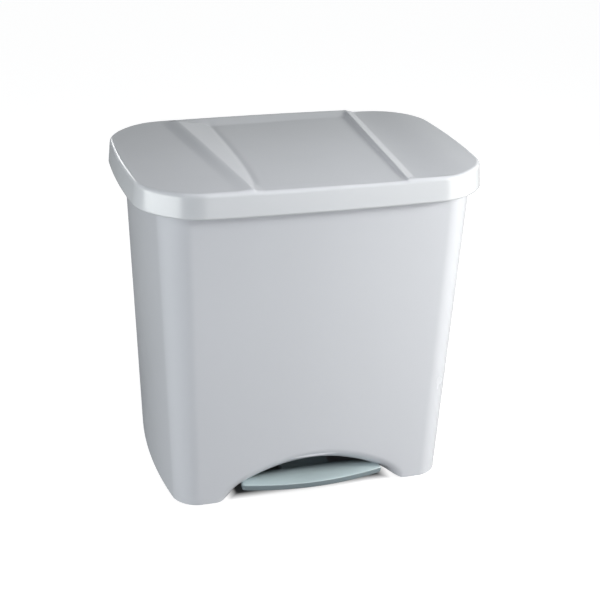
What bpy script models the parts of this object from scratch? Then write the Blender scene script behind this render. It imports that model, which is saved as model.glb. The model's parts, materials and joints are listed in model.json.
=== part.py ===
"""Pedal trash can: a moulded body with two buckets and a lid that a foot pedal lifts through a push rod.

Metres, +Z up, front at -Y. The origin is at the floor, under the middle of the lid.
"""

import math

import bpy

# Lid: outline at the skirt's bottom edge, before its sides bow outward
LID_HALF_WIDTH = 0.1955
LID_HALF_DEPTH = 0.1399
LID_CORNER = 0.0632
LID_BOTTOM = 0.3664
LID_TOP = 0.3944
LID_WALL = 0.0025
BOW_X = 0.0095
BOW_Y = 0.0071
TRAY_DEPTH = 0.014
TRAY_BACK_WALL = 0.118
TRAY_BACK_EDGE = 0.139

# Body: walls at the floor and at the lid's bottom edge
BODY_WALL = 0.0025
BODY_FOOT = 0.001
BODY_RIM = 0.374
BODY_LOW = {
    "half": 0.161,
    "front": -0.1155,
    "back": 0.124,
    "corner": 0.024,
    "bow_x": 0.011,
    "bow_y": 0.005,
}
BODY_HIGH = {
    "half": 0.177,
    "front": -0.128,
    "back": 0.1264,
    "corner": 0.030,
    "bow_x": 0.0095,
    "bow_y": 0.0071,
}
RIM_LIP = 0.0018
RIM_LIP_HEIGHT = 0.0045
FLOOR_UNDER = 0.0495
FLOOR_TOP = 0.052
BOSS_RADIUS = 0.0045
BOSS_END = 0.0505
PILOT_RADIUS = 0.0021

# Arch in the front wall: height and half-widths of its curve, and how far its edge rolls inward
ARCH_HEIGHT = 0.0395
ARCH_FOOT = 0.111
ARCH_FLARE = 0.004
ARCH_ROLL = 0.011
ARCH_ROLL_HEIGHT = 0.022
ARCH_ROLL_FADE = 0.025

# Hinge line of the lid
HINGE_Y = 0.1395
HINGE_Z = 0.361
HINGE_X = 0.098
KNUCKLE_HALF = 0.006
KNUCKLE_RADIUS = 0.005
EAR_RADIUS = 0.0048
EAR_THICK = 0.007
PIN_RADIUS = 0.0015
LID_SWING = math.radians(66)

# Foot pads and the posts above them
PAD_X = 0.139
PAD_FRONT = -0.095
PAD_BACK = 0.102
PAD_RADIUS = 0.010
PAD_THICK = 0.0033
POST_RADIUS = 0.009

# Lid rests: a rib in the lid presses a bumper onto the body's rim
REST_X = 0.100
RIB_HALF = 0.009
RIB_FRONT = -0.1365
RIB_BACK = -0.1297
RIB_FOOT = 0.3776
BUMPER_HALF = 0.007
BUMPER_FRONT = -0.1355
BUMPER_BACK = -0.1307
BUMPER_TOP = 0.3773

# Linkage
ROD_X = 0.009
ROD_Y = 0.1205
ROD_RADIUS = 0.00225
ROD_TIP = -0.008
ROD_BEND = 0.0045
CLIP_RADIUS = 0.0052
CLIP_THICK = 0.0012
CLIP_GAP = 0.0006
AXLE_Y = -0.050
AXLE_Z = 0.022
AXLE_RADIUS = 0.003
AXLE_HALF = 0.034
HUB_RADIUS = 0.0068
HUB_HALF = 0.016
LEVER_HALF = 0.004
LEVER_EYE = 0.0052
LUG_HALF = 0.003
LUG_PLAY = 0.0008
RUN_GAP = 0.0003
ROD_ARM = HINGE_Y - ROD_Y
HALF_SWING = LID_SWING / 2
ROD_TOP = HINGE_Z - ROD_ARM * math.tan(HALF_SWING)
ROD_LIFT = 2 * ROD_ARM * math.tan(HALF_SWING)
ROD_BOTTOM = AXLE_Z - ROD_LIFT / 2

# Saddles that hold the axle under the floor
SADDLE_X = 0.025
SADDLE_HALF = 0.0055
SADDLE_REACH = 0.0125
SADDLE_RADIUS = 0.0075
SADDLE_FLANGE_LOW = 0.0402
SADDLE_FLANGE_HIGH = 0.0432
SADDLE_SCREWS = [(side * SADDLE_X, AXLE_Y + end * SADDLE_REACH) for side in (-1, 1) for end in (-1, 1)]
SADDLE_SCREW_LENGTH = 0.0098

# Cover of the push rod: a channel open toward the back wall
COVER_HALF = 0.014
COVER_SKIN = 0.0016
COVER_WEB = 0.1135
COVER_MOUTH = 0.1270
COVER_LOW = 0.056
COVER_HIGH = 0.336
COVER_SCREWS = [(-0.019, 0.090), (0.019, 0.300)]
COVER_SCREW_LENGTH = 0.0073
TAB_FRONT = 0.1219
TAB_BACK = 0.1240
TAB_HALF_HEIGHT = 0.008
TAB_REACH = 0.006
SCREW_HEAD = 0.0018
SCREW_HEAD_RADIUS = 0.0036
SCREW_RADIUS = 0.0018
SCREW_HOLE = 0.0022

# Pedal tread
TREAD_HALF = 0.087
TREAD_FRONT = -0.132
TREAD_TIP_Y = -0.1175
TREAD_BACK = [(0.082, -0.1135), (0.074, -0.1085), (0.065, -0.100), (0.050, -0.093)]
TREAD_TOP = 0.0215
TREAD_BOTTOM = 0.0125

# Buckets
BUCKET_X = 0.087
BUCKET_RIM = 0.352
BUCKET_BASE = 0.0535
BUCKET_WALL = 0.0018
BAIL_Z = 0.357
BAIL_RADIUS = 0.0017
BAIL_REACH = 0.074
BAIL_FRONT = -0.1115
BAIL_BACK = 0.1015
BAIL_BEND = 0.010
BAIL_EAR_FRONT = -0.1185
BAIL_EAR_BACK = 0.1085
BAIL_EAR_HALF = 0.007
GRIP_FRONT = -0.047
GRIP_BACK = 0.037
GRIP_RADIUS = 0.0044

ROUND = 20


def clear_scene():
    for obj in list(bpy.data.objects):
        bpy.data.objects.remove(obj, do_unlink=True)


def material(name, colour, roughness, metallic=0.0):
    mat = bpy.data.materials.new(name)
    mat.use_nodes = True
    shader = mat.node_tree.nodes["Principled BSDF"]
    shader.inputs["Base Color"].default_value = (*colour, 1.0)
    shader.inputs["Roughness"].default_value = roughness
    shader.inputs["Metallic"].default_value = metallic
    mat.diffuse_color = (*colour, 1.0)
    return mat


def new_object(name, verts, faces, mat=None):
    mesh = bpy.data.meshes.new(name)
    mesh.from_pydata(verts, [], faces)
    mesh.update()
    mesh.shade_smooth()
    mesh.set_sharp_from_angle(angle=math.radians(35))
    obj = bpy.data.objects.new(name, mesh)
    bpy.context.collection.objects.link(obj)
    if mat:
        mesh.materials.append(mat)
    return obj


def helper(name, verts, faces):
    """A shape that a Boolean uses: it is no piece of its own."""
    obj = new_object(name, verts, faces)
    obj.hide_render = True
    obj.display_type = "WIRE"
    return obj


def boolean(obj, other, operation):
    modifier = obj.modifiers.new(f"{operation.lower()} {other.name}", "BOOLEAN")
    modifier.operation = operation
    modifier.object = other
    modifier.solver = "EXACT"


def cut(obj, *others):
    for other in others:
        boolean(obj, other, "DIFFERENCE")


def join(obj, *others):
    for other in others:
        boolean(obj, other, "UNION")


def loft(rings):
    """A closed skin through rings of equal count, anticlockwise seen from the last one, with capped ends."""
    count = len(rings[0])
    verts = [point for ring in rings for point in ring]
    faces = [tuple(reversed(range(count)))]
    for low in range(len(rings) - 1):
        for i in range(count):
            j = (i + 1) % count
            faces.append((low * count + i, low * count + j, (low + 1) * count + j, (low + 1) * count + i))
    last = (len(rings) - 1) * count
    faces.append(tuple(range(last, last + count)))
    return verts, faces


def sleeve(rings):
    """A skin through rings that closes on itself, from the last ring back to the first."""
    count = len(rings[0])
    verts = [point for ring in rings for point in ring]
    faces = []
    for low in range(len(rings)):
        high = (low + 1) % len(rings)
        for i in range(count):
            j = (i + 1) % count
            faces.append((low * count + i, low * count + j, high * count + j, high * count + i))
    return verts, faces


def circle(radius, count=ROUND):
    return [
        (radius * math.cos(2 * math.pi * i / count), radius * math.sin(2 * math.pi * i / count))
        for i in range(count)
    ]


def block(low, high):
    (x0, y0, z0), (x1, y1, z1) = low, high
    plan = [(x0, y0), (x1, y0), (x1, y1), (x0, y1)]
    return loft([[(x, y, z) for x, y in plan] for z in (z0, z1)])


def turned_x(profile, y, z):
    """A round solid about an axis along X: profile holds (x, radius) from low x to high x."""
    return loft([[(x, y + a, z + b) for a, b in circle(radius)] for x, radius in profile])


def turned_y(profile, x, z):
    return loft([[(x + b, y, z + a) for a, b in circle(radius)] for y, radius in profile])


def turned_z(profile, x, y, count=ROUND):
    return loft([[(x + a, y + b, z) for a, b in circle(radius, count)] for z, radius in profile])


def plate_x(outline_yz, x0, x1):
    """A flat plate across X: its outline runs anticlockwise in (y, z)."""
    return loft([[(x, y, z) for y, z in outline_yz] for x in (x0, x1)])


def rounded_outline(half, front, back, corner, bow_x, bow_y, grow=0.0):
    """Anticlockwise plan outline whose four sides bow outward between round corners."""
    half, front, back, corner = half + grow, front - grow, back + grow, corner + grow
    middle, deep = (front + back) / 2, (back - front) / 2
    points = []
    corners = (
        (half - corner, back - corner, 0, 10),
        (-half + corner, back - corner, 90, 10),
        (-half + corner, front + corner, 180, 28),
        (half - corner, front + corner, 270, 10),
    )
    for index, (cx, cy, start, side_steps) in enumerate(corners):
        arc = [math.radians(start + 90 * i / 7) for i in range(8)]
        turn = [(cx + corner * math.cos(a), cy + corner * math.sin(a)) for a in arc]
        after = corners[(index + 1) % 4]
        first = math.radians(after[2])
        end = (after[0] + corner * math.cos(first), after[1] + corner * math.sin(first))
        begin = turn[-1]
        steps = side_steps if index in (0, 2) else 10
        side = [
            (begin[0] + (end[0] - begin[0]) * i / steps, begin[1] + (end[1] - begin[1]) * i / steps)
            for i in range(1, steps)
        ]
        points += turn + side
    bowed = []
    for x, y in points:
        across, along = x / half, (y - middle) / deep
        bowed.append(
            (
                x + math.copysign(bow_x, x) * (1 - along**2) * across**4,
                y + math.copysign(bow_y, y - middle) * (1 - across**2) * along**4,
            )
        )
    return bowed


def smooth_step(value):
    value = min(1.0, max(0.0, value))
    return value * value * (3 - 2 * value)


def body_outline(z, grow=0.0):
    t = z / LID_BOTTOM
    sizes = {key: BODY_LOW[key] + (BODY_HIGH[key] - BODY_LOW[key]) * t for key in BODY_LOW}
    return rounded_outline(**sizes, grow=grow)


def arch_edge(x):
    """Height of the front wall's bottom edge: a parabola whose ends flare softly into the feet."""
    rise = ARCH_HEIGHT * (1 - (x / ARCH_FOOT) ** 2)
    return BODY_FOOT + (rise + math.hypot(rise, ARCH_FLARE)) / 2


def wall_point(x, y, z):
    """A point of the body's wall: near the arch the front wall rolls inward."""
    if y > 0:
        return (x, y, z)
    over = z - arch_edge(x)
    roll = ARCH_ROLL * max(0.0, 1 - over / ARCH_ROLL_HEIGHT) ** 2
    return (x, y + roll * smooth_step((ARCH_FOOT + 0.007 - abs(x)) / ARCH_ROLL_FADE), z)


def wall_ring(share, grow):
    """One ring of the wall: it follows the arch at the bottom and is level at the top."""
    ring = []
    for index, (foot_x, foot_y) in enumerate(body_outline(0.0, grow)):
        foot = arch_edge(foot_x) if foot_y < 0 and abs(foot_x) < ARCH_FOOT + 0.02 else BODY_FOOT
        z = foot + (BODY_RIM - foot) * share
        ring.append(wall_point(*body_outline(z, grow)[index], z))
    return ring


def level_ring(z, grow):
    return [(x, y, z) for x, y in body_outline(z, grow)]


def make_body_shell(mat):
    shares = (0.0, 0.02, 0.05, 0.1, 0.3, 0.65)
    lip_start = BODY_RIM - RIM_LIP_HEIGHT
    outer = [wall_ring(share, 0.0) for share in shares]
    rim = [
        level_ring(lip_start, 0.0),
        level_ring(lip_start + 0.001, RIM_LIP),
        level_ring(BODY_RIM, RIM_LIP),
        level_ring(BODY_RIM, -BODY_WALL),
    ]
    inner = [wall_ring(share, -BODY_WALL) for share in reversed(shares)]
    shell = new_object("body_shell", *sleeve(outer + rim + inner), mat)
    floor = helper(
        "floor_slab",
        *loft([[(x, y, z) for x, y in body_outline(z, -BODY_WALL / 2)] for z in (FLOOR_UNDER, FLOOR_TOP)]),
    )
    join(shell, floor)
    add_posts(shell)
    add_bosses(shell)
    add_hinge_ears(shell)
    cut(shell, helper("rod_slot", *block((ROD_X - 0.005, 0.115, 0.045), (ROD_X + 0.005, 0.126, 0.060))))
    cut(shell, helper("lug_notch", *block((-0.0065, 0.120, 0.3635), (0.0065, 0.142, 0.380))))
    return shell


def pad_places():
    for side, x in (("left", -PAD_X), ("right", PAD_X)):
        for end, y in (("front", PAD_FRONT), ("back", PAD_BACK)):
            yield f"{end}_{side}", x, y


def add_posts(shell):
    """Posts that carry the foot pads under the raised floor."""
    for word, x, y in pad_places():
        profile = [(PAD_THICK + RUN_GAP, POST_RADIUS), (BOSS_END, POST_RADIUS)]
        join(shell, helper(f"post_{word}", *turned_z(profile, x, y)))


def add_bosses(shell):
    """Screw bosses under the floor for the saddles, and on the back wall for the rod's cover."""
    for number, (x, y) in enumerate(SADDLE_SCREWS):
        boss = [(SADDLE_FLANGE_HIGH + RUN_GAP, BOSS_RADIUS), (BOSS_END, BOSS_RADIUS)]
        pilot = [(0.040, PILOT_RADIUS), (FLOOR_UNDER - 0.001, PILOT_RADIUS)]
        join(shell, helper(f"boss {number}", *turned_z(boss, x, y)))
        cut(shell, helper(f"pilot {number}", *turned_z(pilot, x, y)))
    for number, (x, z) in enumerate(COVER_SCREWS):
        wall = max(y for _, y in body_outline(z, -BODY_WALL))
        boss = [(TAB_BACK + RUN_GAP, BOSS_RADIUS), (wall + 0.001, BOSS_RADIUS)]
        pilot = [(0.120, PILOT_RADIUS), (wall, PILOT_RADIUS)]
        join(shell, helper(f"wall boss {number}", *turned_y(boss, x, z)))
        cut(shell, helper(f"wall pilot {number}", *turned_y(pilot, x, z)))


def add_hinge_ears(shell):
    for side in (-1, 1):
        for place in (-1, 1):
            middle = side * HINGE_X + place * (KNUCKLE_HALF + RUN_GAP + EAR_THICK / 2)
            ear = plate_x(ear_outline(), middle - EAR_THICK / 2, middle + EAR_THICK / 2)
            join(shell, helper(f"ear {side} {place}", *ear))
        cut(shell, helper(f"ear bore {side}", *pin_bore(side)))


def pin_bore(side):
    radius = PIN_RADIUS + RUN_GAP / 2
    return turned_x([(side * HINGE_X - 0.02, radius), (side * HINGE_X + 0.02, radius)], HINGE_Y, HINGE_Z)


def ear_outline():
    """Hinge ear: round about the pin and running down into the back wall."""
    arc = [math.radians(-60 + 150 * i / 10) for i in range(11)]
    round_end = [(HINGE_Y + EAR_RADIUS * math.cos(a), HINGE_Z + EAR_RADIUS * math.sin(a)) for a in arc]
    return round_end + [(0.1298, HINGE_Z + EAR_RADIUS), (0.1298, HINGE_Z - 0.014)]


def lid_ring(z, inset):
    return [
        (x, y, z)
        for x, y in rounded_outline(
            LID_HALF_WIDTH, -LID_HALF_DEPTH, LID_HALF_DEPTH, LID_CORNER, BOW_X, BOW_Y, grow=-inset
        )
    ]


def tray_solid(grow):
    """The space over the lid's sunken tray, grown all round: shallow in front, deepest at the back."""
    rings = []
    for share in (-0.02, 0.25, 0.5, 0.75, 1.0):
        y = -0.128 + (TRAY_BACK_WALL + 0.128) * share
        depth = TRAY_DEPTH * (0.35 * max(share, 0.0) + 0.65 * max(share, 0.0) ** 2)
        start = y - grow if share < 0 else y
        half = edge_half(y) + grow
        rings.append((start, depth + grow, half, half - 2 * depth))
    end_half = edge_half(TRAY_BACK_EDGE) + grow
    rings.append((TRAY_BACK_EDGE + grow, -0.0005, end_half, end_half))
    top = LID_TOP + 0.003
    return loft(
        [
            [(-wide, y, top), (wide, y, top), (narrow, y, LID_TOP - depth), (-narrow, y, LID_TOP - depth)]
            for y, depth, wide, narrow in rings
        ]
    )


def edge_half(y):
    """Half-width of the tray's edge, which widens toward the back."""
    return 0.0895 + (y + 0.128) * 0.095


def make_lid(mat):
    rings = [
        lid_ring(LID_BOTTOM, 0.0),
        lid_ring(LID_TOP - 0.0055, 0.0017),
        lid_ring(LID_TOP - 0.0025, 0.0026),
        lid_ring(LID_TOP - 0.0008, 0.0042),
        lid_ring(LID_TOP, 0.0065),
    ]
    lid = new_object("lid", *loft(rings), mat)
    hollow_rings = [
        lid_ring(LID_BOTTOM - 0.002, LID_WALL),
        lid_ring(LID_TOP - 0.0065, LID_WALL + 0.0017),
        lid_ring(LID_TOP - LID_WALL, LID_WALL + 0.0045),
    ]
    hollow = helper("lid_hollow", *loft(hollow_rings))
    cut(hollow, helper("tray_grown", *tray_solid(LID_WALL)))
    cut(lid, helper("tray", *tray_solid(0.0)))
    cut(lid, hollow)
    for side in (-1, 1):
        x0, x1 = side * HINGE_X - KNUCKLE_HALF, side * HINGE_X + KNUCKLE_HALF
        join(lid, helper(f"knuckle {side}", *plate_x(knuckle_outline(), x0, x1)))
        cut(lid, helper(f"knuckle bore {side}", *pin_bore(side)))
        low = (side * REST_X - RIB_HALF, RIB_FRONT, RIB_FOOT)
        high = (side * REST_X + RIB_HALF, RIB_BACK, LID_TOP - 0.0015)
        join(lid, helper(f"stop rib {side}", *block(low, high)))
    join(lid, helper("lug", *plate_x(lug_outline(), -LUG_HALF, LUG_HALF)))
    cut(lid, helper("lug_slot", *plate_x(lug_slot_outline(), -0.008, 0.008)))
    return lid


def knuckle_outline():
    arc = [math.radians(-180 + 180 * i / 10) for i in range(11)]
    round_end = [
        (HINGE_Y + KNUCKLE_RADIUS * math.cos(a), HINGE_Z + KNUCKLE_RADIUS * math.sin(a)) for a in arc
    ]
    top = LID_TOP - 0.0015
    front, back = 0.1385, 0.1455
    return round_end + [
        (back, HINGE_Z + 0.006),
        (back, HINGE_Z + 0.02),
        (back - 0.0035, top),
        (front, top),
        (front, HINGE_Z + 0.005),
    ]


def lug_outline():
    """The lever lug under the lid: it hangs in front of the hinge line and carries the rod's hook."""
    back = HINGE_Y - 0.0108
    front = ROD_Y - 0.0062
    low = ROD_TOP - 0.0068
    return [
        (front, low + 0.002),
        (front + 0.002, low),
        (back - 0.003, low + 0.002),
        (back, low + 0.006),
        (back, 0.386),
        (front, 0.3795),
    ]


def lug_slot_outline():
    """Radial slot: the hook slides along it as the lid swings, while the rod stays upright."""
    half = ROD_RADIUS + LUG_PLAY
    inner, outer = ROD_ARM - RUN_GAP, ROD_ARM / math.cos(HALF_SWING) + RUN_GAP
    away = math.pi + HALF_SWING
    points = []
    for reach, start in ((outer, away - math.pi / 2), (inner, away + math.pi / 2)):
        y, z = HINGE_Y + reach * math.cos(away), HINGE_Z + reach * math.sin(away)
        for i in range(9):
            a = start + math.pi * i / 8
            points.append((y + half * math.cos(a), z + half * math.sin(a)))
    return points


def make_pins(mat):
    for name, side in (("hinge_pin_left", -1), ("hinge_pin_right", 1)):
        x0, x1 = side * HINGE_X - 0.0145, side * HINGE_X + 0.0145
        new_object(name, *turned_x(pin_profile(x0, x1, PIN_RADIUS, 0.0004), HINGE_Y, HINGE_Z), mat)
    axle = pin_profile(-AXLE_HALF, AXLE_HALF, AXLE_RADIUS, 0.0005)
    new_object("pedal_axle", *turned_x(axle, AXLE_Y, AXLE_Z), mat)


def pin_profile(x0, x1, radius, bevel):
    return [(x0, radius - bevel), (x0 + bevel, radius), (x1 - bevel, radius), (x1, radius - bevel)]


def tread_front(x):
    return TREAD_FRONT + (TREAD_TIP_Y - TREAD_FRONT) * (x / TREAD_HALF) ** 2


def tread_plan(grow):
    """Crescent: a forward arc between two tips, and a back edge that draws in under the arch."""
    steps = 20
    front = [-TREAD_HALF + 2 * TREAD_HALF * i / steps for i in range(steps + 1)]
    points = [(x * (1 + grow / TREAD_HALF), tread_front(x) - grow) for x in front]
    back = [(x, y + grow) for x, y in TREAD_BACK]
    return points + back + [(-x, y) for x, y in reversed(back)]


def make_pedal(mat):
    rings = [
        [(x, y, TREAD_BOTTOM) for x, y in tread_plan(-0.0012)],
        [(x, y, TREAD_BOTTOM + 0.0015) for x, y in tread_plan(0.0)],
        [(x, y, TREAD_TOP - 0.0018) for x, y in tread_plan(0.0)],
        [(x, y, TREAD_TOP) for x, y in tread_plan(-0.0018)],
    ]
    pedal = new_object("pedal", *loft(rings), mat)
    neck = [(-0.100, 0.0155), (-0.045, 0.0165), (-0.045, 0.0265), (-0.100, 0.0205)]
    join(pedal, helper("neck", *plate_x(neck, -0.030, 0.030)))
    join(pedal, helper("hub", *turned_x([(-HUB_HALF, HUB_RADIUS), (HUB_HALF, HUB_RADIUS)], AXLE_Y, AXLE_Z)))
    join(pedal, helper("lever", *plate_x(lever_outline(), -LEVER_HALF, LEVER_HALF)))
    for side in (-1, 1):
        inner, outer = sorted((side * HUB_HALF, side * 0.040))
        room = block((inner, AXLE_Y - 0.016, 0.0), (outer, -0.03, 0.04))
        cut(pedal, helper(f"neck room {side}", *room))
    bore = AXLE_RADIUS + RUN_GAP / 2
    cut(pedal, helper("hub_bore", *turned_x([(-0.04, bore), (0.04, bore)], AXLE_Y, AXLE_Z)))
    eye = ROD_RADIUS + RUN_GAP / 2
    cut(pedal, helper("lever_eye", *turned_x([(-0.01, eye), (0.01, eye)], ROD_Y, ROD_BOTTOM)))
    return pedal


def lever_outline():
    """Side view of the lever, from in front of the hub to the round eye that holds the rod."""
    arc = [math.radians(-90 + 180 * i / 8) for i in range(9)]
    front, hub = AXLE_Y - 0.02, HUB_RADIUS - 0.0002
    under = [(front, AXLE_Z - 0.0055), (AXLE_Y, AXLE_Z - hub)]
    eye = [(ROD_Y + LEVER_EYE * math.cos(a), ROD_BOTTOM + LEVER_EYE * math.sin(a)) for a in arc]
    return under + eye + [(AXLE_Y, AXLE_Z + hub), (front, AXLE_Z + 0.0035)]


def saddle_outline():
    """Side view of a saddle: a flange under the floor and a round eye about the axle."""
    arc = [math.radians(-160 + 140 * i / 10) for i in range(11)]
    eye = [(AXLE_Y + SADDLE_RADIUS * math.cos(a), AXLE_Z + SADDLE_RADIUS * math.sin(a)) for a in arc]
    flange, web = SADDLE_REACH + 0.0055, 0.0068
    return eye + [
        (AXLE_Y + web, SADDLE_FLANGE_LOW),
        (AXLE_Y + flange, SADDLE_FLANGE_LOW),
        (AXLE_Y + flange, SADDLE_FLANGE_HIGH),
        (AXLE_Y - flange, SADDLE_FLANGE_HIGH),
        (AXLE_Y - flange, SADDLE_FLANGE_LOW),
        (AXLE_Y - web, SADDLE_FLANGE_LOW),
    ]


def screw(name, turn, seat, length, place, mat):
    """Pan-head screw: turn sets its axis, its head touches nothing in front of seat and its shank runs on."""
    head = seat - RUN_GAP - SCREW_HEAD
    profile = [
        (head, 0.0024),
        (head + 0.0007, SCREW_HEAD_RADIUS),
        (head + SCREW_HEAD, SCREW_HEAD_RADIUS),
        (head + SCREW_HEAD + 0.00001, SCREW_RADIUS),
        (head + length - 0.001, SCREW_RADIUS),
        (head + length, 0.001),
    ]
    return new_object(name, *turn(profile, *place), mat)


def make_saddles(plastic, steel):
    bore = AXLE_RADIUS + RUN_GAP / 2
    for name, side in (("axle_saddle_left", -1), ("axle_saddle_right", 1)):
        x = side * SADDLE_X
        plate = plate_x(saddle_outline(), x - SADDLE_HALF, x + SADDLE_HALF)
        saddle = new_object(name, *plate, plastic)
        axle_bore = turned_x([(x - 0.02, bore), (x + 0.02, bore)], AXLE_Y, AXLE_Z)
        cut(saddle, helper(f"{name} bore", *axle_bore))
        for end in (-1, 1):
            hole = turned_z([(0.038, SCREW_HOLE), (0.0455, SCREW_HOLE)], x, AXLE_Y + end * SADDLE_REACH)
            cut(saddle, helper(f"{name} hole {end}", *hole))
    for number, place in enumerate(SADDLE_SCREWS, 1):
        name = f"saddle_screw_{number}"
        screw(name, turned_z, SADDLE_FLANGE_LOW, SADDLE_SCREW_LENGTH, place, steel)


def make_rod(steel):
    """Upright wire with a hook at each end, and a clip ring on each hook."""
    inner, low, high = ROD_X - ROD_BEND, ROD_BOTTOM + ROD_BEND, ROD_TOP - ROD_BEND
    turns = [math.pi / 2 * i / 4 for i in range(5)]
    corner_low = [(inner + ROD_BEND * math.sin(a), ROD_Y, low - ROD_BEND * math.cos(a)) for a in turns]
    corner_high = [(inner + ROD_BEND * math.cos(a), ROD_Y, high + ROD_BEND * math.sin(a)) for a in turns]
    path = [(ROD_TIP, ROD_Y, ROD_BOTTOM)] + corner_low + corner_high + [(ROD_TIP, ROD_Y, ROD_TOP)]
    pieces = [wire("push_rod", path, ROD_RADIUS, steel)]
    hooks = (("rod_clip_lower", LEVER_HALF, ROD_BOTTOM), ("rod_clip_upper", LUG_HALF, ROD_TOP))
    for name, half, z in hooks:
        x1 = -half - CLIP_GAP
        pieces.append(ring_x(name, x1 - CLIP_THICK, x1, ROD_RADIUS + 0.0002, CLIP_RADIUS, (ROD_Y, z), steel))
    return pieces


def ring_x(name, x0, x1, inner, outer, centre, mat):
    y, z = centre
    rings = [
        [(x, y + a, z + b) for a, b in circle(radius)]
        for x, radius in ((x0, outer), (x1, outer), (x1, inner), (x0, inner))
    ]
    return new_object(name, *sleeve(rings), mat)


def wire(name, path, radius, mat):
    curve = bpy.data.curves.new(name, "CURVE")
    curve.dimensions = "3D"
    spline = curve.splines.new("POLY")
    spline.points.add(len(path) - 1)
    for point, place in zip(spline.points, path):
        point.co = (*place, 1.0)
    curve.bevel_depth = radius
    curve.bevel_resolution = 2
    curve.use_fill_caps = True
    curve.materials.append(mat)
    obj = bpy.data.objects.new(name, curve)
    bpy.context.collection.objects.link(obj)
    return obj


def make_rod_cover(plastic, steel):
    """U-shaped channel that covers the rod along the back wall, with one screw tab on each side."""
    outer, inner, web = COVER_HALF, COVER_HALF - COVER_SKIN, COVER_WEB + COVER_SKIN
    plan = [
        (-outer, COVER_MOUTH),
        (-outer, COVER_WEB),
        (outer, COVER_WEB),
        (outer, COVER_MOUTH),
        (inner, COVER_MOUTH),
        (inner, web),
        (-inner, web),
        (-inner, COVER_MOUTH),
    ]
    rings = [[(x, y, z) for x, y in plan] for z in (COVER_LOW, COVER_HIGH)]
    cover = new_object("rod_cover", *loft(rings), plastic)
    for (x, z), word in zip(COVER_SCREWS, ("lower", "upper")):
        root = math.copysign(COVER_HALF - COVER_SKIN / 2, x)
        end = x + math.copysign(TAB_REACH, x)
        low = (min(root, end), TAB_FRONT, z - TAB_HALF_HEIGHT)
        high = (max(root, end), TAB_BACK, z + TAB_HALF_HEIGHT)
        join(cover, helper(f"tab {word}", *block(low, high)))
        hole = turned_y([(0.119, SCREW_HOLE), (0.1265, SCREW_HOLE)], x, z)
        cut(cover, helper(f"tab hole {word}", *hole))
        screw(f"cover_screw_{word}", turned_y, TAB_FRONT, COVER_SCREW_LENGTH, (x, z), steel)


def bucket_ring(side, z, half, front, back, corner, inset):
    points = []
    for sx, sy, start in ((1, 1, 0), (-1, 1, 90), (-1, -1, 180), (1, -1, 270)):
        cx = sx * (half - corner)
        cy = (back if sy > 0 else front) - sy * corner
        for i in range(7):
            a = math.radians(start + 15 * i)
            reach = corner - inset
            points.append((side * BUCKET_X + cx + reach * math.cos(a), cy + reach * math.sin(a), z))
    return points


def make_bucket(name, side, mat):
    top = (0.0805, -0.1165, 0.1065, 0.026)
    base = (0.071, -0.105, 0.096, 0.022)
    under = BUCKET_RIM - 0.006
    outer = [
        bucket_ring(side, BUCKET_BASE, *base, 0.003),
        bucket_ring(side, BUCKET_BASE + 0.003, *base, 0.0),
        bucket_ring(side, under, *top, 0.0),
        bucket_ring(side, under + 0.0005, *top, -0.0025),
        bucket_ring(side, BUCKET_RIM, *top, -0.0025),
    ]
    inner = [
        bucket_ring(side, BUCKET_RIM, *top, BUCKET_WALL),
        bucket_ring(side, BUCKET_BASE + 0.0048, *base, BUCKET_WALL),
        bucket_ring(side, BUCKET_BASE + BUCKET_WALL, *base, BUCKET_WALL + 0.003),
    ]
    bucket = new_object(name, *loft(outer + inner), mat)
    centre, radius = side * BUCKET_X, BAIL_RADIUS + RUN_GAP
    for end, y, thick in (("front", BAIL_EAR_FRONT, 0.0012), ("back", BAIL_EAR_BACK, 0.0022)):
        low = (centre - BAIL_EAR_HALF, y - 0.0012, BUCKET_RIM - 0.004)
        high = (centre + BAIL_EAR_HALF, y + thick, BAIL_Z + 0.005)
        join(bucket, helper(f"{name} ear {end}", *block(low, high)))
        hole = turned_y([(y - 0.01, radius), (y + 0.01, radius)], centre, BAIL_Z)
        cut(bucket, helper(f"{name} ear hole {end}", *hole))
    return bucket


def make_bail(name, side, mat):
    """Wire handle, folded outward: two arms, an outer run and two ends in the bucket's ears."""
    bend, small = BAIL_BEND, BAIL_BEND / 2
    x0, x1 = side * BUCKET_X, side * (BUCKET_X + BAIL_REACH)
    path = [(x0, BAIL_EAR_FRONT - 0.0035, BAIL_Z)]
    turns = (
        ((x0 + side * small, BAIL_FRONT - small), small, 180, 90),
        ((x1 - side * bend, BAIL_FRONT + bend), bend, -90, 0),
        ((x1 - side * bend, BAIL_BACK - bend), bend, 0, 90),
        ((x0 + side * small, BAIL_BACK + small), small, -90, -180),
    )
    for (cx, cy), radius, start, stop in turns:
        for i in range(5):
            a = math.radians(start + (stop - start) * i / 4)
            path.append((cx + side * radius * math.cos(a), cy + radius * math.sin(a), BAIL_Z))
    path.append((x0, BAIL_EAR_BACK + 0.0045, BAIL_Z))
    return wire(name, path, BAIL_RADIUS, mat)


def make_grip(name, side, mat):
    x = side * (BUCKET_X + BAIL_REACH)
    hole, end = BAIL_RADIUS + RUN_GAP, GRIP_RADIUS - 0.0008
    steps = (
        (GRIP_FRONT, hole),
        (GRIP_FRONT, end),
        (GRIP_FRONT + 0.0015, GRIP_RADIUS),
        (GRIP_BACK - 0.0015, GRIP_RADIUS),
        (GRIP_BACK, end),
        (GRIP_BACK, hole),
    )
    rings = [[(x + b, y, BAIL_Z + a) for a, b in circle(radius)] for y, radius in steps]
    return new_object(name, *sleeve(rings), mat)


def make_bumper(name, side, mat):
    low = (side * REST_X - BUMPER_HALF, BUMPER_FRONT, BODY_RIM + RUN_GAP)
    high = (side * REST_X + BUMPER_HALF, BUMPER_BACK, BUMPER_TOP)
    return new_object(name, *block(low, high), mat)


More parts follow.
